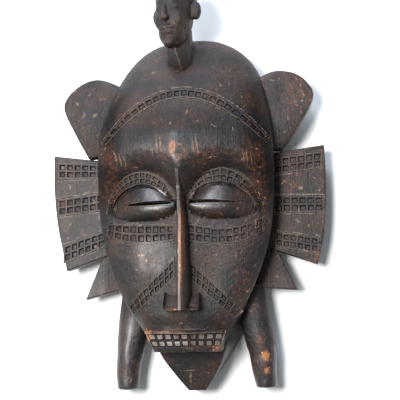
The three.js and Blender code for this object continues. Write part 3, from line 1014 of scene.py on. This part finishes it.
def stained_hardwood():
    """Hardwood stained nearly black in patches, over a grain along y. Rubbed places show the warm
    wood, and on the keel, the nose ridge and the bar over the teeth its bronze is partly a painted
    highlight. Worn edges are pale, hollows are darkened with painted shade, and what hands touch
    most shines."""
    material = bpy.data.materials.new("stained hardwood")
    material.use_nodes = True
    tree = material.node_tree
    tree.nodes.clear()

    def noise_at(where, size, detail=3, roughness=0.6):
        return add(tree, "ShaderNodeTexNoise", Vector=where, Scale=1 / (size * MM), Detail=detail,
                   Roughness=roughness).outputs[0]

    def share(value, low, high, start=0.0, end=1.0):
        return add(tree, "ShaderNodeMapRange", Value=value, i1=low, i2=high, i3=start,
                   i4=end).outputs[0]

    def math_node(operation, a, b):
        return add(tree, "ShaderNodeMath", {"operation": operation}, i0=a, i1=b).outputs[0]

    def blend(factor, under, over, how="MIX"):
        return add(tree, "ShaderNodeMix", {"data_type": "RGBA", "blend_type": how}, i0=factor,
                   i6=under, i7=over).outputs[2]

    place = add(tree, "ShaderNodeTexCoord").outputs["Object"]
    fibre = add(tree, "ShaderNodeVectorMath", {"operation": "MULTIPLY"}, i0=place,
                i1=(1, GRAIN_WIDTH / GRAIN_LENGTH, 1)).outputs[0]
    edge, rubbed_and_highlit_here, polished, bared = [
        add(tree, "ShaderNodeAttribute", {"attribute_name": name}).outputs["Fac"]
        for name in ("edge", "rubbed_and_highlit", "polish", "bare")]
    grain = noise_at(fibre, GRAIN_WIDTH, 4, 0.7)
    patches = noise_at(place, PATCH_SIZE, 4)
    speckle = noise_at(place, SPECKLE_SIZE, 2)
    mottle = noise_at(place, MOTTLE_SIZE, 3)

    stain_with_painted_light = blend(share(patches, 0.42, 0.6), linear("#0d0a0a"), linear("#2c1b15"))
    rub = math_node("MULTIPLY", rubbed_and_highlit_here, share(mottle, 0.4, 0.62))
    stain_with_painted_light = blend(share(rub, 0.1, 0.9, 0, 0.85), stain_with_painted_light, linear("#522e1d"))
    # Bronze where rubbed hardest: worn wood, and on the keel, the nose ridge and the bar over the
    # teeth partly a painted highlight.
    stain_with_painted_light = blend(share(rubbed_and_highlit_here, 0.9, 1.6, 0, 0.8), stain_with_painted_light, linear("#9a6237"))
    fleck = share(noise_at(place, FLECK_SIZE, 2), 0.62, 0.68)
    fleck = math_node("MULTIPLY", fleck, share(patches, 0.42, 0.6))
    fleck = math_node("MULTIPLY", fleck, math_node("ADD", rubbed_and_highlit_here, 0.25))
    stain_with_painted_light = blend(share(fleck, 0.1, 0.8), stain_with_painted_light, linear("#a8805f"))
    stain_with_painted_light = blend(1.0, stain_with_painted_light, share(grain, 0.33, 0.7, 0.25, 2.0), "MULTIPLY")
    stain_with_painted_light = blend(1.0, stain_with_painted_light, share(speckle, 0.35, 0.65, 0.5, 1.5), "MULTIPLY")
    # Painted shade: the colour darkens in hollows and creases.
    stain_with_painted_light = blend(share(edge, -0.7, -0.1, 0.75, 0), stain_with_painted_light, linear("#120e0d"))
    worn = math_node("MULTIPLY", share(edge, 0.46, 0.9), share(mottle, 0.3, 0.6, 0.25, 0.8))
    colour = blend(worn, stain_with_painted_light, linear("#7f7064"))
    bared = math_node("MULTIPLY", bared, share(mottle, 0.35, 0.6, 0.1, 1))
    colour = blend(share(bared, 0.1, 0.9, 0, 0.8), colour, linear("#8c6c54"))

    dull = math_node("ADD", share(polished, 0, 1, 0.46, 0.3), share(grain, 0.35, 0.65, 0.0, 0.2))
    dull = math_node("ADD", dull, share(edge, -0.7, -0.1, 0.25, 0))
    relief = add(tree, "ShaderNodeBump", Height=grain, Strength=0.9,
                 Distance=GRAIN_DEPTH * MM).outputs[0]
    relief = add(tree, "ShaderNodeBump", Height=mottle, Strength=0.6,
                 Distance=MOTTLE_DEPTH * MM, Normal=relief).outputs[0]
    wood = add(tree, "ShaderNodeBsdfPrincipled", Base_Color=colour, Roughness=dull, Normal=relief,
               IOR=1.5, Specular_IOR_Level=share(polished, -1, 0, 0.12, 0.5),
               Coat_Weight=share(polished, 0, 1, 0, 0.8), Coat_Roughness=0.36)
    add(tree, "ShaderNodeOutputMaterial", Surface=wood.outputs[0])
    return material


mask.data.materials.clear()
mask.data.materials.append(stained_hardwood())
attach(mask, "root")
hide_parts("mask")


# A plain pale floor under soft studio light from the upper left.
bpy.ops.mesh.primitive_plane_add(size=6)
floor = bpy.context.object
paper = bpy.data.materials.new("pale paper")
paper.use_nodes = True
paper.node_tree.nodes["Principled BSDF"].inputs["Base Color"].default_value = linear("#fafbfb")
paper.node_tree.nodes["Principled BSDF"].inputs["Roughness"].default_value = 0.8
floor.data.materials.append(paper)
floor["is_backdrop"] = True

world = bpy.data.worlds.new("studio")
bpy.context.scene.world = world
world.use_nodes = True
world.node_tree.nodes["Background"].inputs["Color"].default_value = linear("#e2ebf0")
world.node_tree.nodes["Background"].inputs["Strength"].default_value = 0.32


def softbox(name, place, width, height, power, colour):
    bpy.ops.object.light_add(type="AREA", location=place)
    light = bpy.context.object
    light.name = name
    light.data.shape = "RECTANGLE"
    light.data.size = width
    light.data.size_y = height
    light.data.energy = power
    light.data.color = linear(colour)[:3]
    light.rotation_euler = (-Vector(place)).to_track_quat("-Z", "Y").to_euler()


softbox("key", (-0.33, 0.04, 1.1), 0.4, 0.4, 20, "#fffdfb")
softbox("window", (-0.22, 1.3, 0.85), 0.4, 0.8, 26, "#dfe8f6")

# The camera stands where the photographer's did, over the face, a little to its right and below.
CAMERA_TARGET = Vector((12.974, -17, 40)) * MM
CAMERA_DISTANCE = 0.8
CAMERA_ASIDE = math.radians(7.537)
CAMERA_BELOW = math.radians(7.620)
CAMERA_ROLL = math.radians(-1.154)
back = Vector((math.sin(CAMERA_ASIDE) * math.cos(CAMERA_BELOW), -math.sin(CAMERA_BELOW),
               math.cos(CAMERA_ASIDE) * math.cos(CAMERA_BELOW)))
right = Vector((0, 1, 0)).cross(back).normalized()
up = back.cross(right)
right, up = (right * math.cos(CAMERA_ROLL) + up * math.sin(CAMERA_ROLL),
             up * math.cos(CAMERA_ROLL) - right * math.sin(CAMERA_ROLL))
bpy.ops.object.camera_add()
camera = bpy.context.object
turn = Matrix((right, up, back)).transposed().to_4x4()
camera.matrix_world = Matrix.Translation(CAMERA_TARGET + back * CAMERA_DISTANCE) @ turn
camera.data.lens = 81
camera.data.sensor_width = 36
bpy.context.scene.camera = camera
bpy.context.scene.view_settings.view_transform = "Standard"

low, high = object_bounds()
{"cad": [list(cad_low), list(cad_high)], "scene": [list(low), list(high)]}
